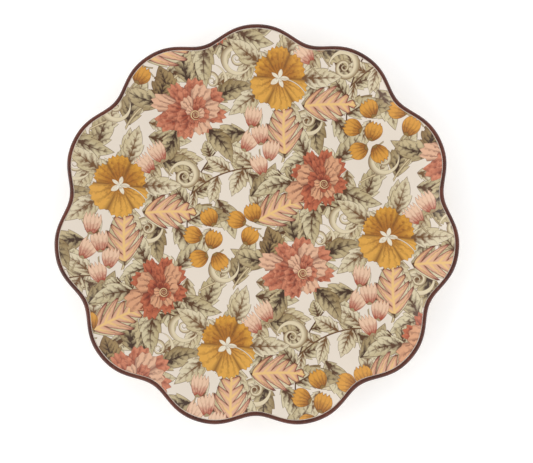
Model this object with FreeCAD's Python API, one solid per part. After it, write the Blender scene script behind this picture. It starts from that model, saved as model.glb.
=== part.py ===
"""A scalloped china dinner plate, in millimetres, standing on its foot ring at z = 0, +Z up.

The plate is a shallow coupe: a flat well, a rim that curves up without a shoulder, and a lip cut
into eleven broad lobes with tighter notches between them. It is one pressed clay body with thin
fired layers on it: glaze on the face, the back and inside the foot, a floral transfer, and a band.
"""
import FreeCAD, Part
import math
import os

# Driving dimensions of the outline
lobe_count = 11
lip_tip_radius = 135.8      # from the axis to the outside of a lobe
notch_depth = 9.3           # how far a notch lies inside the tips of its lobes
lobe_fullness = 0.60        # second swing of the outline, which broadens lobes and tightens notches
first_lobe = math.radians(90)

# Driving dimensions of the section
plate_height = 21.0         # from the table to the highest point of the lip
well_radius = 84.0          # the flat part of the face
well_wall = 4.6             # thickness of the clay in the well
lip_wall = 2.8              # thickness of the clay at the rounded lip

# Layers on the clay
glaze = 0.25
transfer = 0.2
band = 0.2
band_width = 2.1            # how far the band comes in over the face from the plate's outermost line
band_under = 1.2            # and how far it wraps on under the lip
print_gap = 0.5             # bare glaze between the transfer and the band

# Foot ring
foot_outer_radius = 79.0
foot_contact_width = 3.2
foot_height = 3.0           # from the table to the glazed underside
foot_draft = 1.1            # how much wider the ring is at its root, each side
foot_edge = 0.5             # rounding of the contact face's two edges
bare_foot = 0.8             # the glaze stops this far above the table

# How finely the scalloped curves are described
points_per_lobe = 12
rim_sections = 6
lip_sections = 4
root_overlap = 1.0          # how far the foot ring is let into the body before they are joined

lip_radius = lip_wall / 2
layers = glaze + band
band_inboard = band_width - lip_radius - layers
lip_centre_tip_radius = lip_tip_radius - lip_radius - layers
wall_middle = foot_height + glaze + well_wall / 2
rim_rise = plate_height - wall_middle - lip_radius - layers
rim_length = math.hypot(lip_centre_tip_radius - well_radius, 2 * rim_rise)


def lip_centre_radius(angle):
    """Radius of the middle of the rounded lip, which carries the scallops."""
    phase = lobe_count * (angle - first_lobe)
    swing = notch_depth / 2 * (math.cos(phase) - 1)
    return lip_centre_tip_radius + swing - lobe_fullness * (math.cos(2 * phase) - 1)


def wall_frame(angle, share):
    """Middle of the wall and its slope, at a share of the way from the well's edge to the lip."""
    run = lip_centre_radius(angle) - well_radius
    radius = well_radius + share * run
    height = wall_middle + rim_rise * share ** 2
    slope = math.atan(2 * rim_rise * share / run)
    return radius, height, slope


def half_wall(share):
    """Half the clay's thickness, which thins steadily towards the lip."""
    return well_wall / 2 + share * (lip_wall - well_wall) / 2


def closed_curve(place):
    """A smooth closed curve through place(angle) -> (radius, height), taken all round the plate."""
    steps = lobe_count * points_per_lobe
    points = []
    for step in range(steps):
        angle = first_lobe + 2 * math.pi * step / steps
        radius, height = place(angle)
        points.append(FreeCAD.Vector(radius * math.cos(angle), radius * math.sin(angle), height))
    curve = Part.BSplineCurve()
    curve.interpolate(Points=points, PeriodicFlag=True)
    return Part.Wire([curve.toShape()])


def wall_curve(share, side, film):
    """A curve on the wall: side is +1 on the face and -1 underneath, film the layer's height."""
    def place(angle):
        radius, height, slope = wall_frame(angle, share)
        reach = side * (half_wall(share) + film)
        return radius - reach * math.sin(slope), height + reach * math.cos(slope)
    return closed_curve(place)


def lip_curve(turn, film):
    """A curve round the lip: turn is +90 degrees where the face begins and -90 underneath."""
    def place(angle):
        radius, height, slope = wall_frame(angle, 1)
        reach = lip_radius + film
        return radius + reach * math.cos(turn + slope), height + reach * math.sin(turn + slope)
    return closed_curve(place)


def spread(first, last, count):
    """Evenly spaced values from first to last."""
    return [first + (last - first) * step / count for step in range(count + 1)]


def face_path(film, end=1.0):
    """Curves up the face, from the well's edge to a share of the way to the lip."""
    return [wall_curve(share, +1, film) for share in spread(0, end, rim_sections)]


def back_path(film):
    """Curves down the underside, from the lip in to the well's edge."""
    return [wall_curve(share, -1, film) for share in spread(1, 0, rim_sections)]


def lip_path(film, first, last):
    """Curves round part of the lip, between two turns given in degrees."""
    return [lip_curve(math.radians(turn), film) for turn in spread(first, last, lip_sections)]


def skin(curves):
    """One smooth surface through a run of closed curves."""
    return Part.makeLoft(curves, False, False).Faces


def strip(first, last):
    """The narrow straight surface between two closed curves, at the edge of a layer."""
    return Part.makeLoft([first, last], False, True).Faces


def flat(wire):
    """The flat face inside a wire."""
    return [Part.Face(wire)]


def sewn(faces):
    """The closed solid that a set of faces bounds."""
    shell = Part.makeCompound(faces)
    shell.sewShape(0.001)
    solid = Part.makeSolid(Part.Shell(shell.Faces))
    if solid.Volume < 0:
        solid.reverse()
    return solid


def turned(outline):
    """The solid that a closed outline of (radius, height) points sweeps round the axis."""
    points = [FreeCAD.Vector(radius, 0, height) for radius, height in outline]
    face = Part.Face(Part.makePolygon(points + points[:1]))
    return face.revolve(FreeCAD.Vector(0, 0, 0), FreeCAD.Vector(0, 0, 1), 360)


def foot_side(inward, film, height):
    """Radius of the foot ring's outer side, or of its inner side, at a height above the table."""
    lean = foot_draft * height / foot_height
    if inward:
        return foot_outer_radius - foot_contact_width - lean - film
    return foot_outer_radius + lean + film


def china_body():
    """The pressed clay: a lobed dish with its foot ring in one piece, the contact face left bare."""
    face = face_path(0)
    back = back_path(0)
    dish = sewn(flat(face[0]) + skin(face) + skin(lip_path(0, 90, 0)) + skin(lip_path(0, 0, -90))
                + skin(back) + flat(back[-1]))
    root = foot_height + glaze + root_overlap
    ring = turned([
        (foot_side(False, 0, foot_edge), foot_edge),
        (foot_side(False, 0, 0) - foot_edge, 0),
        (foot_side(True, 0, 0) + foot_edge, 0),
        (foot_side(True, 0, foot_edge), foot_edge),
        (foot_side(True, 0, root), root),
        (foot_side(False, 0, root), root),
    ])
    return dish.fuse(ring).removeSplitter().Solids[0]


def face_glaze():
    """The glaze on the face, from the well over the rim to the outermost line of the lip."""
    under = face_path(0)
    over = face_path(glaze)
    return sewn(flat(under[0]) + skin(under) + skin(lip_path(0, 90, 0))
                + flat(over[0]) + skin(over) + skin(lip_path(glaze, 90, 0))
                + strip(lip_curve(0, 0), lip_curve(0, glaze)))


def share_before_lip(distance):
    """Share of the way from the well to the lip at which a layer stops, a distance short of the lip."""
    return 1 - distance / rim_length


def printed_transfer():
    """The fired floral transfer, which lies on the face glaze and stops just short of the band."""
    end = share_before_lip(band_inboard + print_gap)
    under = face_path(glaze, end)
    over = face_path(glaze + transfer, end)
    return sewn(flat(under[0]) + skin(under) + flat(over[0]) + skin(over) + strip(under[-1], over[-1]))


def band_stretch(film, inner, outer):
    """The band's surface at one height: over the face's edge, round the lip and a little under it."""
    face = [wall_curve(share, +1, film) for share in spread(inner, 1, 2)]
    back = [wall_curve(share, -1, film) for share in spread(1, outer, 2)]
    faces = skin(face) + skin(lip_path(film, 90, 0)) + skin(lip_path(film, 0, -90)) + skin(back)
    return face[0], back[-1], faces


def rim_band():
    """The dark enamel band that wraps the scalloped lip."""
    inner = share_before_lip(band_inboard)
    outer = share_before_lip(band_under)
    under_start, under_end, under = band_stretch(glaze, inner, outer)
    over_start, over_end, over = band_stretch(glaze + band, inner, outer)
    return sewn(under + over + strip(under_start, over_start) + strip(under_end, over_end))


def back_glaze():
    """The glaze on the underside, from the outermost line of the lip to low on the foot's outside."""
    inner = back_path(0)
    outer = back_path(glaze)
    film = sewn(skin(lip_path(0, 0, -90)) + skin(inner) + flat(inner[-1])
                + skin(lip_path(glaze, 0, -90)) + skin(outer) + flat(outer[-1])
                + strip(lip_curve(0, 0), lip_curve(0, glaze)))
    top = foot_height + glaze
    inside_foot = turned([
        (0, bare_foot),
        (foot_side(False, 0, bare_foot), bare_foot),
        (foot_side(False, 0, top), top),
        (foot_side(False, 0, top), top + glaze),
        (0, top + glaze),
    ])
    sleeve = turned([
        (foot_side(False, 0, bare_foot), bare_foot),
        (foot_side(False, glaze, bare_foot), bare_foot),
        (foot_side(False, glaze, top), top),
        (foot_side(False, 0, top), top),
    ])
    return film.cut(inside_foot).fuse(sleeve).removeSplitter().Solids[0]


def foot_recess_glaze():
    """The separate pool of glaze inside the foot ring."""
    top = foot_height + glaze
    return turned([
        (0, foot_height),
        (foot_side(True, glaze, foot_height), foot_height),
        (foot_side(True, glaze, bare_foot), bare_foot),
        (foot_side(True, 0, bare_foot), bare_foot),
        (foot_side(True, 0, top), top),
        (0, top),
    ])


def save(name, solid):
    """Write one sub-part and say how large it is."""
    solid.exportStep(f"parts/{name}.step")
    box = solid.BoundBox
    print(f"{name:18s} valid {solid.isValid()} closed {solid.isClosed()} {solid.ShapeType} "
          f"solids {len(solid.Solids)} volume {solid.Volume / 1000:.2f} cm3 "
          f"z {box.ZMin:.2f} to {box.ZMax:.2f}, x {box.XLength:.2f}, y {box.YLength:.2f}")


os.makedirs("parts", exist_ok=True)
save("china_body", china_body())
save("face_glaze", face_glaze())
save("printed_transfer", printed_transfer())
save("rim_band", rim_band())
save("back_glaze", back_glaze())
save("foot_recess_glaze", foot_recess_glaze())
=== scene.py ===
"""The looks of a scalloped china dinner plate: its glazes, its floral transfer and its banded lip.

Lengths are metres, as in the frame, except in the print, where they are millimetres. The floral
print is drawn by shader nodes: each motif is a node group that works in its own coordinates, and the
print is those groups laid over one another.
"""
import math

import bpy
from mathutils import Matrix, Vector

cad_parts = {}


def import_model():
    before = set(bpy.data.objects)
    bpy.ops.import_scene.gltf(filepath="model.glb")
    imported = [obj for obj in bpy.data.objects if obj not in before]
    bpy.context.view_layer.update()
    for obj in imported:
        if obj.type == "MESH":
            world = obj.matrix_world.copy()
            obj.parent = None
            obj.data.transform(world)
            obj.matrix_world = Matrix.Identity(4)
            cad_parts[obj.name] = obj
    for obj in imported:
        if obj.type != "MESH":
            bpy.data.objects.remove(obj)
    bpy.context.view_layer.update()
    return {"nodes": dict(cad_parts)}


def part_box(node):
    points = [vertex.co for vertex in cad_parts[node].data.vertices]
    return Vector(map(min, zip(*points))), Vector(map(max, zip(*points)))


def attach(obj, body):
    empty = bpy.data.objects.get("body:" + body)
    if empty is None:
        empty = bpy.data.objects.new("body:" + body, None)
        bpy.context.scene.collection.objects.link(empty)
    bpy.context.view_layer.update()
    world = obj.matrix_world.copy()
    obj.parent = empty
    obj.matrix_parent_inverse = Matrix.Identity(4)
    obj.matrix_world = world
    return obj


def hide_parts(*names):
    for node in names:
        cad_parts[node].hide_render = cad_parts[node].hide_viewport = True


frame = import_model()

MM = 0.001
X_AXIS, Y_AXIS, UP = (1, 0, 0), (0, 1, 0), (0, 0, 1)

# The plate's outline and section, as the CAD model has them
LOBES = 11
FIRST_LOBE = math.radians(90)
NOTCH_DEPTH = 9.3 * MM
LOBE_FULLNESS = 0.60 * MM
WELL_RADIUS = 84 * MM
WELL_WALL = 4.6 * MM
LIP_WALL = 2.8 * MM
GLAZE = 0.25 * MM
TRANSFER = 0.2 * MM
BAND = 0.2 * MM
BAND_WIDTH = 2.1 * MM
BAND_UNDER = 1.2 * MM
PRINT_GAP = 0.5 * MM
FOOT_DRAFT = 1.1 / 3
FOOT_CONTACT = 3.2 * MM

LIP_TIP_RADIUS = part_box("rim_band")[1][1]
PLATE_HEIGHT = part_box("rim_band")[1][2]
WELL_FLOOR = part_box("face_glaze")[0][2]
BARE_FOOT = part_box("back_glaze")[0][2]
FOOT_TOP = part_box("foot_recess_glaze")[1][2]
FOOT_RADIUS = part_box("foot_recess_glaze")[1][0] + FOOT_DRAFT * BARE_FOOT + FOOT_CONTACT

LIP_RADIUS = LIP_WALL / 2
LIP_CENTRE_TIP = LIP_TIP_RADIUS - LIP_RADIUS - GLAZE - BAND
BAND_INBOARD = BAND_WIDTH - LIP_RADIUS - GLAZE - BAND
WALL_MIDDLE = WELL_FLOOR - WELL_WALL / 2
RIM_RISE = PLATE_HEIGHT - WALL_MIDDLE - LIP_RADIUS - GLAZE - BAND
LIP_HEIGHT = WALL_MIDDLE + RIM_RISE
RIM_LENGTH = math.hypot(LIP_CENTRE_TIP - WELL_RADIUS, 2 * RIM_RISE)

# How finely the meshes follow the outline
STEPS_PER_LOBE = 40
WELL_RINGS = 8
RIM_RINGS = 26
LIP_RINGS = 10
BAND_FACE_RINGS = 3
BAND_UNDER_RINGS = 2
SHARP_EDGE = math.radians(40)       # edges that bend more than this stay crisp


# ---------------------------------------------------------------- the plate's surfaces

def lip_centre_radius(angle):
    """Radius of the middle of the rounded lip, which carries the scallops."""
    phase = LOBES * (angle - FIRST_LOBE)
    swing = NOTCH_DEPTH / 2 * (math.cos(phase) - 1)
    return LIP_CENTRE_TIP + swing - LOBE_FULLNESS * (math.cos(2 * phase) - 1)


def wall_point(angle, share, side, film):
    """A point on the rim: side is +1 on the face and -1 underneath, film the layer's height."""
    run = lip_centre_radius(angle) - WELL_RADIUS
    slope = math.atan(2 * RIM_RISE * share / run)
    half_wall = (WELL_WALL + share * (LIP_WALL - WELL_WALL)) / 2
    reach = side * (half_wall + film)
    radius = WELL_RADIUS + share * run - reach * math.sin(slope)
    return radius, WALL_MIDDLE + RIM_RISE * share ** 2 + reach * math.cos(slope)


def lip_point(angle, turn, film):
    """A point round the lip: turn is +90 degrees where the face begins and -90 underneath."""
    run = lip_centre_radius(angle) - WELL_RADIUS
    lean = math.atan(2 * RIM_RISE / run) + math.radians(turn)
    reach = LIP_RADIUS + film
    return WELL_RADIUS + run + reach * math.cos(lean), WALL_MIDDLE + RIM_RISE + reach * math.sin(lean)


def spread(first, last, count):
    """Evenly spaced values from first to last."""
    return [first + (last - first) * step / count for step in range(count + 1)]


def share_before_lip(distance):
    """Share of the way from the well to the lip, at a distance short of the lip."""
    return 1 - distance / RIM_LENGTH


def well_rings(side, film):
    """Rings across the flat well, from near its middle to its edge."""
    height = WALL_MIDDLE + side * (WELL_WALL / 2 + film)
    radii = spread(WELL_RADIUS / WELL_RINGS, WELL_RADIUS, WELL_RINGS - 1)
    return [lambda angle, radius=radius: (radius, height) for radius in radii[:-1]]


def rim_rings(side, film, first, last, count=RIM_RINGS):
    """Rings along the rim, between two shares of the way from the well to the lip."""
    return [lambda angle, share=share: wall_point(angle, share, side, film)
            for share in spread(first, last, count)]


def lip_rings(film, first, last):
    """Rings round the lip, between two turns in degrees, without the first."""
    return [lambda angle, turn=turn: lip_point(angle, turn, film)
            for turn in spread(first, last, LIP_RINGS)[1:]]


def round_rings(profile):
    """Plain round rings through (radius, height) points."""
    return [lambda angle, point=point: point for point in profile]


def mesh_piece(name, points, faces):
    """A new object with a mesh of its own."""
    mesh = bpy.data.meshes.new(name)
    mesh.from_pydata(points, [], faces)
    piece = bpy.data.objects.new(name, mesh)
    bpy.context.collection.objects.link(piece)
    return piece


def ring_piece(name, rings, hollow=False):
    """A closed piece through rings about the axis: joined end to end if hollow, or capped if not."""
    steps = LOBES * STEPS_PER_LOBE
    points = []
    for ring in rings:
        for step in range(steps):
            angle = FIRST_LOBE + 2 * math.pi * step / steps
            radius, height = ring(angle)
            points.append((radius * math.cos(angle), radius * math.sin(angle), height))
    count = len(rings)
    faces = []
    for row in range(count if hollow else count - 1):
        below, above = row * steps, (row + 1) % count * steps
        for step in range(steps):
            following = (step + 1) % steps
            faces.append((below + step, below + following, above + following, above + step))
    if not hollow:
        for row, flip in ((0, True), (count - 1, False)):
            pole = len(points)
            points.append((0, 0, rings[row](0)[1]))
            for step in range(steps):
                edge = (row * steps + step, row * steps + (step + 1) % steps)
                faces.append((pole, *edge[::-1]) if flip else (pole, *edge))
    piece = mesh_piece(name, points, faces)
    piece.data.polygons.foreach_set("use_smooth", [True] * len(faces))
    piece.data.set_sharp_from_angle(angle=SHARP_EDGE)
    return piece


def printed_face():
    """The transfer: a thin sheet that follows the face, from the middle to just short of the band."""
    end = share_before_lip(BAND_INBOARD + PRINT_GAP)
    low, high = GLAZE, GLAZE + TRANSFER
    over = well_rings(+1, high) + rim_rings(+1, high, 0, end)
    under = well_rings(+1, low) + rim_rings(+1, low, 0, end)
    return ring_piece("printed_face", under + over[::-1])


def face_glaze_coat():
    """The glaze under the transfer, which shows as a fine pale line inside the band."""
    over = well_rings(+1, GLAZE) + rim_rings(+1, GLAZE, 0, 1) + lip_rings(GLAZE, 90, 0)
    under = well_rings(+1, 0) + rim_rings(+1, 0, 0, 1) + lip_rings(0, 90, 0)
    return ring_piece("face_glaze_coat", under + over[::-1])


def lip_band():
    """The enamel band: in over the face, round the lip and a little way underneath."""
    def wrap(film):
        """The rings of the band's surface at one height above the clay."""
        inner, outer = share_before_lip(BAND_INBOARD), share_before_lip(BAND_UNDER)
        return (rim_rings(+1, film, inner, 1, BAND_FACE_RINGS)
                + lip_rings(film, 90, 0) + lip_rings(film, 0, -90)
                + rim_rings(-1, film, 1, outer, BAND_UNDER_RINGS)[1:])
    return ring_piece("lip_band", wrap(GLAZE) + wrap(GLAZE + BAND)[::-1], hollow=True)


def back_glaze_coat():
    """The glaze on the underside, from the lip to low on the outside of the foot ring."""
    def foot_side(film, height):
        """A point on the outside of the foot ring, which leans out as it rises."""
        return FOOT_RADIUS + FOOT_DRAFT * height + film, height

    top = FOOT_TOP
    under = (lip_rings(0, 0, -90) + rim_rings(-1, 0, 1, 0)[1:]
             + round_rings([foot_side(0, top), foot_side(0, BARE_FOOT)]))
    over = (lip_rings(GLAZE, 0, -90) + rim_rings(-1, GLAZE, 1, 0)[1:]
            + round_rings([foot_side(GLAZE, top - GLAZE), foot_side(GLAZE, BARE_FOOT)]))
    return ring_piece("back_glaze_coat", over + under[::-1], hollow=True)


# ---------------------------------------------------------------- a short way to write shader nodes

def linear(code):
    """A colour for a shader, from its usual six-figure screen code, by the standard sRGB curve."""
    parts = [int(code[place:place + 2], 16) / 255 for place in (0, 2, 4)]
    return [part / 12.92 if part <= 0.04045 else ((part + 0.055) / 1.055) ** 2.4 for part in parts] + [1]


def feed(tree, socket, value):
    """Give a socket its value: another node's output, a colour code or a plain number."""
    if isinstance(value, Wire):
        tree.links.new(value.source, socket)
    elif isinstance(value, str):
        socket.default_value = linear(value)
    else:
        socket.default_value = value


class Wire:
    """A value in a node tree. Arithmetic on wires adds the nodes that work it out.

    A Mix node has sockets for every kind of value under the same names, so they go by number here.
    """

    def __init__(self, tree, source):
        self.tree = tree
        self.source = source

    def node(self, kind, settings, values, output=0):
        """The output of a new node, set up and fed with values."""
        node = self.tree.nodes.new("ShaderNode" + kind)
        for name, setting in settings.items():
            setattr(node, name, setting)
        for socket, value in values.items():
            feed(self.tree, node.inputs[socket], value)
        return Wire(self.tree, node.outputs[output])

    def math(self, operation, *values):
        """A number worked out from other numbers."""
        return self.node("Math", {"operation": operation}, dict(enumerate(values)))

    def vector(self, operation, *values, output="Vector"):
        """A vector worked out from other vectors, or a number if output is "Value"."""
        return self.node("VectorMath", {"operation": operation}, dict(enumerate(values)), output)

    def __add__(self, other):
        return self.math("ADD", self, other)

    def __sub__(self, other):
        return self.math("SUBTRACT", self, other)

    def __rsub__(self, other):
        return self.math("SUBTRACT", other, self)

    def __mul__(self, other):
        return self.math("MULTIPLY", self, other)

    def __truediv__(self, other):
        return self.math("DIVIDE", self, other)

    def __pow__(self, other):
        return self.math("POWER", self, other)

    def __abs__(self):
        return self.math("ABSOLUTE", self)

    __radd__ = __add__
    __rmul__ = __mul__

    def sin(self):
        return self.math("SINE", self)

    def floor(self):
        return self.math("FLOOR", self)

    def fraction(self):
        return self.math("FRACT", self)

    def least(self, other):
        return self.math("MINIMUM", self, other)

    def most(self, other):
        return self.math("MAXIMUM", self, other)

    def ramp(self, low, high):
        """0 at low, 1 at high, and straight between them."""
        return self.node("Clamp", {}, {"Value": (self - low) / (high - low)})

    def zigzag(self):
        """A triangle wave: 0 at whole numbers and 1 half way between them."""
        return 1 - abs(self.fraction() * 2 - 1)

    def blend(self, over, share):
        """This colour with another laid over it."""
        return self.node("Mix", {"data_type": "RGBA"}, {0: share, 6: self, 7: over}, 2)


# ---------------------------------------------------------------- the print's motifs

REPEAT = 131                        # the print repeats on a square of this side, in millimetres,
PRINT_TURN = math.radians(-146)     # which is turned this much on the plate
PRINT_ORIGIN = (19.4, 98.8)         # where the print's own 0, 0 lies, in millimetres on the plate

INK = "54301a"                      # the outline of leaves, stems and scrolls


class Group:
    """A node group with named inputs and outputs."""

    def __init__(self, name, inputs, outputs):
        self.tree = bpy.data.node_groups.new(name, "ShaderNodeTree")
        for label, kind in inputs:
            self.tree.interface.new_socket(label, in_out="INPUT", socket_type="NodeSocket" + kind)
        for label, kind in outputs:
            self.tree.interface.new_socket(label, in_out="OUTPUT", socket_type="NodeSocket" + kind)
        self.inputs = self.tree.nodes.new("NodeGroupInput")

    def __getitem__(self, label):
        return Wire(self.tree, self.inputs.outputs[label])

    def give(self, **results):
        """Send results out of the group, and return the group."""
        out = self.tree.nodes.new("NodeGroupOutput")
        for label, value in results.items():
            feed(self.tree, out.inputs[label], value)
        return self


def wrapped_gap(place, spot):
    """The way from the nearest repeat of a spot to a place, in repeats."""
    gap = place.vector("SUBTRACT", place, spot)
    return gap.vector("WRAP", gap, (0.5, 0.5, 0.5), (-0.5, -0.5, -0.5))


def nearer_spot():
    """Takes another spot, with its own turn, in place of the one so far wherever it is nearer."""
    group = Group("nearer_spot", [("Place", "Vector"), ("Gap", "Vector"), ("Turn", "Float"),
                                  ("Spot", "Vector"), ("Its Turn", "Float")],
                  [("Gap", "Vector"), ("Turn", "Float")])
    gap = wrapped_gap(group["Place"], group["Spot"])
    far = group["Gap"].vector("LENGTH", group["Gap"], output="Value")
    near = gap.vector("LENGTH", gap, output="Value")
    choose = near.math("LESS_THAN", near, far)
    chosen = gap.node("Mix", {"data_type": "VECTOR"}, {0: choose, 4: group["Gap"], 5: gap}, 1)
    turns = {0: choose, 2: group["Turn"], 3: group["Its Turn"]}
    turn = gap.node("Mix", {"data_type": "FLOAT"}, turns, 0)
    return group.give(Gap=chosen, Turn=turn)


class Motif(Group):
    """A node group that draws one kind of motif over the colour that comes into it."""

    def __init__(self, name, numbers=(), colours=()):
        inputs = [("Under", "Color"), ("Gap", "Vector"), ("Turn", "Float"), ("Grain", "Float"),
                  ("Size", "Float")]
        inputs += [(number, "Float") for number in numbers] + [(colour, "Color") for colour in colours]
        super().__init__(name, inputs, [("Over", "Color")])

    def local(self):
        """Coordinates about the motif's own place, turned with it and in its own size."""
        turned = self["Gap"].node("VectorRotate", {"rotation_type": "Z_AXIS"},
                                  {"Vector": self["Gap"], "Angle": 0 - self["Turn"]})
        scale = self["Size"].math("DIVIDE", REPEAT, self["Size"])
        return [turned.vector("DOT_PRODUCT", turned, axis, output="Value") * scale
                for axis in (X_AXIS, Y_AXIS)]

    def finish(self, colour, depth, ink, line=0.35, strength=0.8):
        """Lay the motif down. Depth is how far inside its outline a point is, in millimetres.

        Line is the width of the ink along the outline, also in millimetres.
        """
        drawn = colour.blend(ink, depth.ramp(line, line * 0.3) * strength)
        return self.give(Over=self["Under"].blend(drawn, depth.ramp(0, 0.15)))


LEAF_TEETH = 3.6                    # on each side of a leaf,
TOOTH_CUT = 0.22                    # and how far they cut in, as a share of its half width
VEINS = 36                          # how closely a leaf's veins follow one another,
VEIN_LEAN = 1.2                     # and how far they lean forward


def blade(motif, x, y, size):
    """A toothed leaf along x from 0 to 1: its colour, and how far inside its edge a point is."""
    along = x.ramp(0, 1)
    tooth = (along * LEAF_TEETH + motif["Turn"]).fraction()
    half_width = motif["Width"] * (along ** 0.8 * math.pi).sin() * (1 - TOOTH_CUT + TOOTH_CUT * tooth)
    side = abs(y)
    depth = (half_width - side) * size
    reach = side / (half_width + 0.001)
    veins = ((along - side * VEIN_LEAN) * VEINS + motif["Grain"] * 8).sin()
    # Every leaf has a tone of its own, and one half of it catches less light
    tone = (motif["Turn"] * 9).sin() * 0.2
    lit = (y / motif["Width"]).ramp(-0.5, 0.8)
    colour = motif["Light"].blend(motif["Mid"], lit * 0.8 + motif["Grain"] * 0.7 - 0.3 + tone)
    # The deep tone gathers towards the stem and the midrib, and between the veins
    hollow = 0.72 - along * 0.75 - reach * 0.7 + veins * 0.18 + motif["Grain"] * 0.6
    colour = colour.blend(motif["Deep"], hollow.ramp(0.25, 0.8))
    rib = (side * size).ramp(0.5, 0.15) * along.ramp(1, 0.5)
    return colour.blend(motif["Deep"], rib.most(veins.ramp(0.8, 1) * 0.3)), depth


LEAF_TONES = ("Light", "Mid", "Deep")


def leaf_motif():
    """One leaf, laid down about its middle."""
    motif = Motif("leaf", ("Width", "Bend"), LEAF_TONES)
    x, y = motif.local()
    x = x + 0.5
    bend = motif["Bend"] * (motif["Turn"] * 5).sin()
    colour, depth = blade(motif, x, y - bend * 4 * x * (1 - x), motif["Size"])
    return motif.finish(colour, depth, INK, line=0.55, strength=0.9)


LEAF_LEAN = math.radians(50)        # of a branch's leaves from its stem


def branch_motif():
    """A curved stem from 0 to 1 with alternate leaves that lean forward along it."""
    motif = Motif("branch", ("Width", "Bend", "Pairs"), LEAF_TONES)
    x, y = motif.local()
    y = y - motif["Bend"] * 4 * x * (1 - x)
    side = y.math("SIGN", y)
    out = abs(y)
    stagger = 0.5 + side * 0.25
    row = ((x - out / math.tan(LEAF_LEAN)) * motif["Pairs"] - stagger + 0.5).floor()
    base = (row + stagger) / motif["Pairs"]
    length = 0.46 - base * 0.2
    start = x - base
    leaf_x = (start * math.cos(LEAF_LEAN) + out * math.sin(LEAF_LEAN)) / length
    leaf_y = (out * math.cos(LEAF_LEAN) - start * math.sin(LEAF_LEAN)) / length
    colour, depth = blade(motif, leaf_x, leaf_y * side, motif["Size"] * length)
    beyond = abs(base - 0.5).ramp(0.49, 0.5) * 9
    stem = (0.55 - out * motif["Size"]).least((0.5 - abs(x - 0.5)) * motif["Size"])
    colour = colour.blend(motif["Deep"], stem.ramp(0, 0.2))
    return motif.finish(colour, (depth - beyond).most(stem), INK, line=0.5, strength=0.9)


PETAL_STREAKS = 23                  # how closely the fine streaks stand in one petal


def petal_motif():
    """A ring of petals about a centre, notched and fringed, shaded from its heart to its edge."""
    motif = Motif("petals", ("Oval", "Petals", "Notch", "Point", "Teeth", "Fringe", "Streak", "Pale"),
                  ("Heart", "Edge", "Shade", "Wash"))
    x, y = motif.local()
    y = y / motif["Oval"]
    radius = (x * x + y * y) ** 0.5
    angle = y.math("ARCTAN2", y, x) / (2 * math.pi) + 0.5
    seed = motif["Turn"] * 3
    # Petals counted round the ring, uneven in width, each with a chance number of its own
    count = (angle + (angle * (4 * math.pi) + seed).sin() * 0.014) * motif["Petals"]
    gap = abs(count.fraction() * 2 - 1)
    own = ((count.floor() * 2.4 + seed).sin() * 43.7).fraction()
    # The outline is notched between petals and fringed with small teeth
    teeth = (count * motif["Teeth"]).zigzag()
    edge = 1 - motif["Notch"] * gap ** motif["Point"] - motif["Fringe"] * teeth - (1 - own) * 0.2
    depth = (edge - radius) * motif["Size"]
    reach = radius / edge.most(0.05)
    blotch = motif["Grain"] - 0.5
    colour = motif["Heart"].blend(motif["Edge"], (reach + blotch * 1.2).ramp(0.45, 1))
    paler = own.ramp(motif["Pale"], motif["Pale"] + 0.05)
    colour = colour.blend(motif["Wash"], paler * reach.ramp(0.1, 0.6))
    # Fine streaks run out from the heart, creases part the petals, and stains cloud them
    streak = (count * PETAL_STREAKS + (radius * 6 + seed).sin() + blotch * 6).sin().ramp(0, 1)
    fade = (reach + blotch * 0.9).ramp(1.2, 0.5)
    crease = gap.ramp(0.7, 1) * reach.ramp(0.1, 0.5) * 0.8
    stain = motif["Grain"].ramp(0.5, 0.7) * reach.ramp(0.85, 0.25) * 0.7
    shade = (streak * fade * motif["Streak"]).most(crease).most(stain)
    colour = colour.blend(motif["Shade"], shade)
    return motif.finish(colour, depth, motif["Shade"], line=0.5, strength=0.6)


def oak_motif():
    """A lobed leaf with finger lobes that lean forward, yellow along its ribs and pink at its edge."""
    motif = Motif("oak_leaf", ("Width", "Bend", "Lobes"), ("Rib", "Flesh", "Blush", "Shade"))
    x, y = motif.local()
    x = x + 0.5
    along = x.ramp(0, 1)
    across = y - motif["Bend"] * 4 * along * (1 - along)
    side = abs(across)
    # Lobes are counted along the leaf, on lines that bend forward towards its edge
    forward = along - side * 0.75 - side * side * 1.2
    count = forward * motif["Lobes"] + 0.4 + across.math("SIGN", across) * 0.12
    finger = abs(count.fraction() * 2 - 1)
    uneven = 1 - (count.floor() * 2.4 + motif["Turn"]).sin() * 0.12
    nick = (count * 3).zigzag() * 0.02
    swell = uneven * (along ** 0.75 * math.pi).sin() ** 0.7
    half_width = motif["Width"] * swell * (1 - 0.78 * finger ** 2.2)
    depth = (half_width - nick - side) * motif["Size"]
    # The rib and the middle of each lobe are yellow, and fine lines and dark folds lie between them
    reach = (side / motif["Width"]).ramp(0.8, 0.15)
    rib = (side * motif["Size"]).ramp(1.2, 0.4)
    colour = motif["Flesh"].blend(motif["Blush"], depth.ramp(5, 1) * 0.9)
    colour = colour.blend(motif["Rib"], rib.most(finger.ramp(0.4, 0.1) * reach))
    fine = (forward * 80 + motif["Grain"] * 8).sin().ramp(0.1, 1) * reach.ramp(1, 0.3) * 0.5
    fold = finger.ramp(0.82, 0.95) * (side * motif["Size"]).ramp(1, 2.5)
    colour = colour.blend(motif["Shade"], fine.most(fold))
    return motif.finish(colour, depth, motif["Shade"], line=1.9, strength=0.95)


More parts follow.
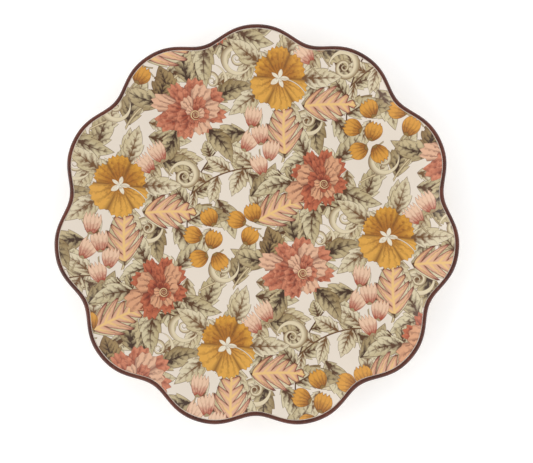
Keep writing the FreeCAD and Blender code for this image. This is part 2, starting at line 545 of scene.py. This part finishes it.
def bud_motif():
    """A cup-shaped bud with a zigzag crown, held in a calyx."""
    motif = Motif("bud", ("Width", "Taper", "Crown"), ("Base", "Cheek", "Shade", "Calyx"))
    x, y = motif.local()
    x = x + 0.5
    across = y / motif["Width"]
    swell = (x * motif["Taper"] + 0.12).sin().most(0) ** 0.7
    crown = 0.86 + (across * 2.5 + 0.5).zigzag() * motif["Crown"] - x
    depth = ((swell - abs(across)) * motif["Width"]).least(crown).least(x) * motif["Size"]
    height = x.ramp(0, 1)
    colour = motif["Base"].blend(motif["Cheek"], (height + motif["Grain"] * 0.6 - 0.3).ramp(0.1, 0.6))
    # Lines fan out from the calyx, and the crown has a dark rim
    fan = (across / (height + 0.3) * 13 + motif["Turn"] * 7 + motif["Grain"] * 5).sin().ramp(0.1, 1)
    fan = fan * height.ramp(0.9, 0.2) * 0.7
    colour = colour.blend(motif["Shade"], fan.most(crown.ramp(0.1, 0) * 0.6))
    # Pointed sepals hold the bud's base
    sepal = 0.08 + (across * 1.5 + 0.5).zigzag() * 0.1 - height
    colour = colour.blend(motif["Calyx"], sepal.ramp(0, 0.02))
    colour = colour.blend(motif["Shade"], abs(sepal).ramp(0.035, 0.01) * 0.7)
    return motif.finish(colour, depth, motif["Shade"], line=0.45)


def stem_motif():
    """A thin stem from 0 to 1 that bows to one side, pale down its middle."""
    motif = Motif("stem", ("Thick", "Bend"), ("Light", "Deep"))
    x, y = motif.local()
    offset = abs(y - motif["Bend"] * 4 * x * (1 - x)) * motif["Size"]
    ends = (0.5 - abs(x - 0.5)) * motif["Size"]
    colour = motif["Light"].blend(motif["Deep"], offset.ramp(0, 0.9))
    return motif.finish(colour, (motif["Thick"] - offset).least(ends), INK)


def scroll_motif():
    """A rolled volute, a band that winds in to its middle."""
    motif = Motif("scroll", ("Wind", "Thick"), ("Light", "Deep"))
    x, y = motif.local()
    radius = (x * x + y * y) ** 0.5
    angle = y.math("ARCTAN2", y, x) / (2 * math.pi)
    turns = (radius.math("LOGARITHM", radius.most(0.01), motif["Wind"]) - angle).fraction()
    band = motif["Thick"] / 2 - abs(turns - motif["Thick"] / 2)
    depth = (band * radius * 2).least(1 - radius).least(radius - 0.08) * motif["Size"]
    colour = motif["Light"].blend(motif["Deep"], (turns / motif["Thick"]).ramp(0.4, 1))
    return motif.finish(colour, depth, INK, line=0.4)


# ---------------------------------------------------------------- the print

PRINT_GRAIN = 420                   # blotches to the metre in the print's colours


class Print:
    """The floral print, built up one motif over another in a material's node tree."""

    def __init__(self, tree, ground):
        self.tree = tree
        self.metres = metres = Wire(tree, tree.nodes.new("ShaderNodeTexCoord").outputs["Object"])
        scale = 1 / (REPEAT * MM)
        laid = {"Vector": metres, "Rotation": (0, 0, -PRINT_TURN), "Scale": (scale, scale, 0)}
        self.place = metres.node("Mapping", {"vector_type": "POINT"}, laid)
        self.grain = metres.node("TexNoise", {}, {"Vector": metres, "Scale": PRINT_GRAIN, "Detail": 2})
        self.colour = ground
        self.nearer = nearer_spot()
        self.motifs = {"leaf": leaf_motif(), "branch": branch_motif(), "petals": petal_motif(),
                       "oak": oak_motif(), "bud": bud_motif(), "stem": stem_motif(),
                       "scroll": scroll_motif()}

    def group(self, group, values):
        """A node that stands for a group, fed with values."""
        node = self.tree.nodes.new("ShaderNodeGroup")
        node.node_tree = group.tree
        for label, value in values.items():
            feed(self.tree, node.inputs[label], value)
        return node

    def spot(self, at):
        """A place given in millimetres from the print's origin, in repeats along its own square."""
        x, y = PRINT_ORIGIN[0] + at[0], PRINT_ORIGIN[1] + at[1]
        cos, sin = math.cos(PRINT_TURN), math.sin(PRINT_TURN)
        return (x * cos + y * sin) / REPEAT, (y * cos - x * sin) / REPEAT, 0

    def lay(self, kind, gap, turn, size, settings):
        """Draw one kind of motif over the print so far, about the spot that gap leads from."""
        values = {"Under": self.colour, "Gap": gap, "Turn": turn, "Grain": self.grain, "Size": size}
        node = self.group(self.motifs[kind], {**values, **settings})
        self.colour = Wire(self.tree, node.outputs[0])

    def draw(self, kind, places, size, **settings):
        """Lay one kind of motif at several places, each (x, y, turn in degrees)."""
        x, y, turn = places[0]
        gap = wrapped_gap(self.place, self.spot((x, y)))
        turn = math.radians(turn) - PRINT_TURN
        for x, y, next_turn in places[1:]:
            node = self.group(self.nearer, {"Place": self.place, "Gap": gap, "Turn": turn,
                                            "Spot": self.spot((x, y)),
                                            "Its Turn": math.radians(next_turn) - PRINT_TURN})
            gap, turn = Wire(self.tree, node.outputs["Gap"]), Wire(self.tree, node.outputs["Turn"])
        self.lay(kind, gap, turn, size, settings)

    def scatter(self, kind, cells, size, jitter, **settings):
        """Lay one kind of motif in every cell of a grid, each shaken and turned its own way."""
        spot = self.place.vector("SCALE", self.place)
        spot.source.node.inputs["Scale"].default_value = cells
        cell = spot.vector("FLOOR", spot)
        own = cell.vector("WRAP", cell, (cells, cells, 1), (0, 0, 0))
        chance = self.tree.nodes.new("ShaderNodeTexWhiteNoise")
        chance.noise_dimensions = "3D"
        feed(self.tree, chance.inputs["Vector"], own)
        shake = own.vector("SUBTRACT", Wire(self.tree, chance.outputs["Color"]), (0.5, 0.5, 0.5))
        middle = cell.vector("MULTIPLY_ADD", shake, (jitter, jitter, 0), (0.5, 0.5, 0))
        gap = cell.vector("SUBTRACT", spot.vector("SUBTRACT", spot, cell), middle)
        gap = gap.vector("MULTIPLY", gap, (1 / cells, 1 / cells, 0))
        turn = Wire(self.tree, chance.outputs["Value"]) * (2 * math.pi)
        self.lay(kind, gap, turn, size, settings)


def rosette(centre, radius, count, start):
    """Places evenly round a centre, each turned to point away from it."""
    places = []
    for number in range(count):
        turn = start + 360 * number / count
        way = math.radians(turn)
        places.append((centre[0] + radius * math.cos(way), centre[1] + radius * math.sin(way), turn))
    return places


# The tones of each kind of motif
SAGE = {"Light": "d3c6a4", "Mid": "b3a177", "Deep": "543419"}
PALE_SAGE = {"Light": "d9ccae", "Mid": "c5b48c", "Deep": "6e4b29"}
DARK_SAGE = {"Light": "c2b088", "Mid": "8e774e", "Deep": "3e2614"}
FURLED = {"Light": "a48a5c", "Mid": "6c4e2e", "Deep": "38200f"}
GOLD = {"Heart": "aa6c22", "Edge": "d49836", "Shade": "6c3f14", "Wash": "dba246"}
STAR = {"Heart": "e8dfca", "Edge": "e4d6bc", "Shade": "8c6a40", "Wash": "e8dfca"}
ROSE = {"Heart": "98462e", "Edge": "cd8262", "Shade": "6c3326", "Wash": "deb090"}
RUST = {"Heart": "863622", "Edge": "c06a48", "Shade": "602b1c", "Wash": "d69e78"}
PINK_OAK = {"Rib": "e6be7c", "Flesh": "d8a98a", "Blush": "b4705a", "Shade": "5c2c1e"}
ROSE_BUD = {"Base": "a8503a", "Cheek": "e4c0a2", "Shade": "8c4230", "Calyx": "a08c66"}
GOLD_BUD = {"Base": "94581a", "Cheek": "d4963a", "Shade": "70441a", "Calyx": "8a6a34"}

# Where the motifs lie, in millimetres from the print's origin, and their turns in degrees
GOLD_AT, ROSE_AT, RUST_AT = (-4, 2), (-65, -19), (23, -67)


def gold_bloom(art, at, size):
    """An open gold flower: six broad petals, a pale star at its heart and a thin pale stamen."""
    place = [(*at, 0)]
    art.draw("petals", place, size, Oval=1.1, Petals=6, Notch=0.14, Point=4, Teeth=6, Fringe=0.06,
             Streak=0.5, Pale=0.55, **GOLD)
    art.draw("petals", place, size * 0.34, Oval=1, Petals=5, Notch=0.66, Point=1.2, Teeth=1, Fringe=0,
             Streak=0.15, Pale=1, **STAR)
    art.draw("stem", [(*at, -30)], size * 0.95, Thick=0.5, Bend=0.12, Light="e8dac2", Deep="b0946e")


RING_TURN = 23                      # degrees from one ring of a full bloom's petals to the next
OFF_CENTRE = 0.16                   # how far the inner rings lie off its middle, as a share of its size


def full_bloom(art, at, size, turn, tones):
    """A full bloom: rings of fringed petals that get smaller, and a curled heart.

    Each ring has its share of the bloom's size, its petals, and how few of them are pale.
    """
    rings = ((1.0, 8, 0.75), (0.76, 6, 0.5), (0.52, 5, 0.45), (0.3, 5, 0.6))
    for number, (share, petals, pale) in enumerate(rings):
        shift = (1 - share) * size * OFF_CENTRE
        place = (at[0] + shift, at[1] - shift, turn + number * RING_TURN)
        art.draw("petals", [place], size * share, Oval=0.86, Petals=petals, Notch=0.24, Point=3,
                 Teeth=4, Fringe=0.09, Streak=0.8, Pale=pale, **tones)
    heart = size * 0.13
    art.draw("scroll", [(at[0] + heart, at[1] - heart, turn)], heart, Wind=1.9, Thick=0.5,
             Light="e2c694", Deep="a87c50")


def stalks(places, behind):
    """The places of stalks that come up to buds, each with its middle so many mm behind its bud."""
    stems = []
    for x, y, turn in places:
        way = math.radians(turn)
        stems.append((x - behind * math.cos(way), y - behind * math.sin(way), turn))
    return stems


STEMS_AT = [(-60, 20, 200), (-8, -20, 260), (50, -70, 350), (0, 40, 20)]
BRANCHES_AT = [(-30, 20, 150), (42, -28, 70)]
PALE_BRANCHES_AT = [(-14, -60, 200), (52, -84, 300)]
SCROLLS_AT = [(-33, 15, 0), (15, -27, 40), (-50, 0, 90), (40, 8, 200), (-42, -127, 30)]
OAK_AT = [(0, -32, 90), (31, -17, 0), (-2, -88, 25)]
ROSE_BUDS_AT = [(-22, -25, 80), (-17, -37, 95), (-25, -42, 60), (-10, -48, 80), (-17, -58, 110),
                (22, 24, 120), (14, 16, 130)]
GOLD_BUDS_AT = [(57, -20, 120), (46, -32, 160), (60, -35, 70), (50, -48, 200), (64, -50, 300),
                (-33, -95, 160), (-22, -90, 110), (-24, -106, 60)]
FURLED_AT = [(-10, -112, 80), (-82, 0, 110)]


def floral_print(art):
    """One repeat of the print, from the leaves at the back to the blooms in front."""
    art.scatter("leaf", cells=5, size=23.5, jitter=0.14, Width=0.28, Bend=0.08, **PALE_SAGE)
    art.scatter("leaf", cells=4, size=30, jitter=0.16, Width=0.27, Bend=0.08, **SAGE)
    art.scatter("leaf", cells=3, size=29, jitter=0.3, Width=0.28, Bend=0.1, **DARK_SAGE)

    art.draw("stem", STEMS_AT, size=58, Thick=1, Bend=0.22, Light="d6c6a0", Deep="8a6c40")
    art.draw("branch", BRANCHES_AT, size=56, Width=0.3, Bend=0.1, Pairs=3, **SAGE)
    art.draw("branch", PALE_BRANCHES_AT, size=54, Width=0.3, Bend=-0.12, Pairs=3, **PALE_SAGE)
    art.draw("scroll", SCROLLS_AT, size=11, Wind=3, Thick=0.5, Light="dacbaa", Deep="80643c")

    behind_rose = rosette(ROSE_AT, radius=32, count=5, start=20)
    behind_rust = rosette(RUST_AT, radius=31, count=5, start=50)
    behind_gold = rosette(GOLD_AT, radius=28, count=5, start=0)
    art.draw("leaf", behind_rose, size=31, Width=0.25, Bend=0.1, **DARK_SAGE)
    art.draw("leaf", behind_rust, size=31, Width=0.25, Bend=0.1, **SAGE)
    art.draw("leaf", behind_gold, size=30, Width=0.26, Bend=-0.1, **PALE_SAGE)
    art.draw("leaf", OAK_AT, size=42, Width=0.28, Bend=0.05, **SAGE)
    art.draw("oak", OAK_AT, size=36, Width=0.37, Bend=0.03, Lobes=4.5, **PINK_OAK)

    bud_stalks = stalks(ROSE_BUDS_AT + GOLD_BUDS_AT + FURLED_AT, behind=18)
    art.draw("stem", bud_stalks, size=14, Thick=0.6, Bend=0.1, Light="b8a580", Deep="6e5636")
    art.draw("leaf", FURLED_AT, size=20, Width=0.42, Bend=0, **FURLED)
    art.draw("bud", ROSE_BUDS_AT, size=14, Width=0.42, Taper=2.1, Crown=0.26, **ROSE_BUD)
    art.draw("bud", GOLD_BUDS_AT, size=13.5, Width=0.46, Taper=2.75, Crown=0.14, **GOLD_BUD)

    full_bloom(art, ROSE_AT, size=29, turn=10, tones=ROSE)
    full_bloom(art, RUST_AT, size=27, turn=50, tones=RUST)
    gold_bloom(art, GOLD_AT, size=22)


# ---------------------------------------------------------------- the materials

IVORY = "e2d6c7"


def glossy(name, roughness):
    """A new material with one Principled shader, its tree and that shader."""
    material = bpy.data.materials.new(name)
    material.use_nodes = True
    tree = material.node_tree
    shader = tree.nodes["Principled BSDF"]
    shader.inputs["Roughness"].default_value = roughness
    return material, tree, shader


def noise(place, scale, detail=2, stretch=None):
    """Soft noise about 0.5, so many blotches to the metre, drawn out if stretch says how."""
    if stretch:
        place = place.vector("MULTIPLY", place, stretch)
    return place.node("TexNoise", {}, {"Vector": place, "Scale": scale, "Detail": detail})


def mottled(share, first, second):
    """Two colours, shared out by a number from 0 to 1."""
    return share.node("Mix", {"data_type": "RGBA"}, {0: share, 6: first, 7: second}, 2)


def object_place(tree):
    """The place on the object, in metres."""
    return Wire(tree, tree.nodes.new("ShaderNodeTexCoord").outputs["Object"])


def bump(shader, height, depth):
    """Give a shader relief of so many metres from a height that runs from 0 to 1."""
    relief = height.node("Bump", {}, {"Height": height, "Distance": depth, "Strength": 1})
    feed(height.tree, shader.inputs["Normal"], relief)


RIPPLES = 110                       # to the metre, in the surface of every glaze


def print_material():
    """The transfer under its gloss: the floral print, with the ripple that fired glaze has."""
    material, tree, shader = glossy("floral_print", 0.16)
    art = Print(tree, IVORY)
    floral_print(art)
    feed(tree, shader.inputs["Base Color"], art.colour)
    ripple = noise(art.metres, RIPPLES)
    feed(tree, shader.inputs["Roughness"], 0.13 + ripple * 0.08)
    bump(shader, ripple, 0.03 * MM)
    return material


def ivory_glaze_material():
    """Clear glaze on cream clay: faint specks, and slightly deeper colour where it pools."""
    material, tree, shader = glossy("ivory_glaze", 0.15)
    place = object_place(tree)
    cloud = noise(place, scale=30)
    speck = noise(place, scale=900, detail=1)
    colour = mottled(cloud.ramp(0.3, 0.75), IVORY, "dccdb8")
    colour = colour.blend("a88f6e", speck.ramp(0.74, 0.8) * 0.55)
    feed(tree, shader.inputs["Base Color"], colour)
    ripple = noise(place, RIPPLES)
    feed(tree, shader.inputs["Roughness"], 0.12 + ripple * 0.1)
    bump(shader, ripple, 0.04 * MM)
    return material


def brown_enamel_material():
    """A hand-turned band: dark brown, streaked along the lip, with painted light that makes it lighter
    and redder towards the underside.
    """
    material, tree, shader = glossy("brown_enamel", 0.2)
    place = object_place(tree)
    cloud = noise(place, scale=60, detail=3)
    streak = noise(place, scale=500, stretch=(1, 1, 3))
    colour = mottled(cloud.ramp(0.35, 0.7), "40180a", "5c2814")
    colour = colour.blend("763c26", streak.ramp(0.5, 0.8) * 0.5)
    # Painted light: the band is made lighter and redder low on the lip, towards its underside
    height = place.vector("DOT_PRODUCT", place, UP, output="Value")
    painted_underside_light = height.ramp(LIP_HEIGHT, LIP_HEIGHT - LIP_RADIUS)
    colour = colour.blend("7a4434", painted_underside_light * cloud.ramp(0.3, 0.6) * 0.6)
    feed(tree, shader.inputs["Base Color"], colour)
    feed(tree, shader.inputs["Roughness"], 0.16 + streak * 0.16)
    bump(shader, streak, 0.03 * MM)
    return material


def bare_china_material():
    """Unglazed biscuit on the foot: matt, fine grained, a little soiled from standing."""
    material, tree, shader = glossy("bare_china", 0.8)
    place = object_place(tree)
    grain = noise(place, scale=2500)
    cloud = noise(place, scale=80, detail=3)
    colour = mottled(cloud.ramp(0.35, 0.7), "e4dac8", "c9b79c")
    colour = colour.blend("a8937a", grain.ramp(0.6, 0.75) * 0.4)
    feed(tree, shader.inputs["Base Color"], colour)
    feed(tree, shader.inputs["Roughness"], 0.7 + grain * 0.25)
    bump(shader, grain, 0.05 * MM)
    return material


# ---------------------------------------------------------------- the studio

def floor():
    """A white table that glows a little, so that the plate's faint shade on it stays white."""
    reach = 3.0
    glow = 0.12
    corners = [(-reach, -reach, 0), (reach, -reach, 0), (reach, reach, 0), (-reach, reach, 0)]
    piece = mesh_piece("floor", corners, [(0, 1, 2, 3)])
    material, tree, shader = glossy("pale_floor", 0.9)
    shader.inputs["Base Color"].default_value = (1, 1, 1, 1)
    shader.inputs["Emission Color"].default_value = (1, 1, 1, 1)
    shader.inputs["Emission Strength"].default_value = glow
    piece.data.materials.append(material)


def panel(name, place, size, power):
    """A soft square light aimed at the plate."""
    light = bpy.data.lights.new(name, "AREA")
    light.size = size
    light.energy = power
    thing = bpy.data.objects.new(name, light)
    thing.location = place
    thing.rotation_euler = Vector(place).to_track_quat("Z", "Y").to_euler()
    bpy.context.collection.objects.link(thing)


def camera():
    """Almost straight down, tipped a few degrees towards the near edge."""
    distance = 0.62
    tip = math.radians(3.93)
    lean = math.radians(0.95)
    frame_width = 0.3552
    aim = Vector((6.9 * MM, -4.9 * MM, LIP_HEIGHT))
    way = Vector((math.sin(lean), -math.sin(tip), math.cos(math.hypot(tip, lean)))).normalized()
    right = Vector(Y_AXIS).cross(way).normalized()
    data = bpy.data.cameras.new("camera")
    data.sensor_width = 36
    data.lens = data.sensor_width * distance / frame_width
    thing = bpy.data.objects.new("camera", data)
    thing.location = aim + way * distance
    thing.rotation_euler = Matrix((right, way.cross(right), way)).transposed().to_euler()
    bpy.context.collection.objects.link(thing)
    bpy.context.scene.camera = thing


def world():
    """A light tent: bright round the sides and dimmer overhead, where the camera is."""
    side_light = 1.55
    top_light = 0.6
    scene = bpy.context.scene
    scene.world = bpy.data.worlds.new("studio")
    scene.world.use_nodes = True
    tree = scene.world.node_tree
    background = tree.nodes["Background"]
    background.inputs["Color"].default_value = (1, 1, 1, 1)
    way = Wire(tree, tree.nodes.new("ShaderNodeTexCoord").outputs["Generated"])
    up = way.vector("DOT_PRODUCT", way, UP, output="Value")
    feed(tree, background.inputs["Strength"], side_light - up.ramp(0.3, 0.95) * (side_light - top_light))
    scene.view_settings.view_transform = "Standard"


# ---------------------------------------------------------------- everything together

def dress(piece, node, material):
    """Give a piece its material, put it under the root, and hide the CAD node it stands for."""
    piece.data.materials.append(material)
    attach(piece, "root")
    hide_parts(node)


camera()
world()
floor()
panel("key", place=(-1.5, -0.3, 0.8), size=1.2, power=4)

ivory = ivory_glaze_material()
dress(printed_face(), "printed_transfer", print_material())
dress(face_glaze_coat(), "face_glaze", ivory)
dress(lip_band(), "rim_band", brown_enamel_material())
dress(back_glaze_coat(), "back_glaze", ivory)

for node, material in (("china_body", bare_china_material()), ("foot_recess_glaze", ivory)):
    for slot in frame["nodes"][node].material_slots:
        slot.material = material
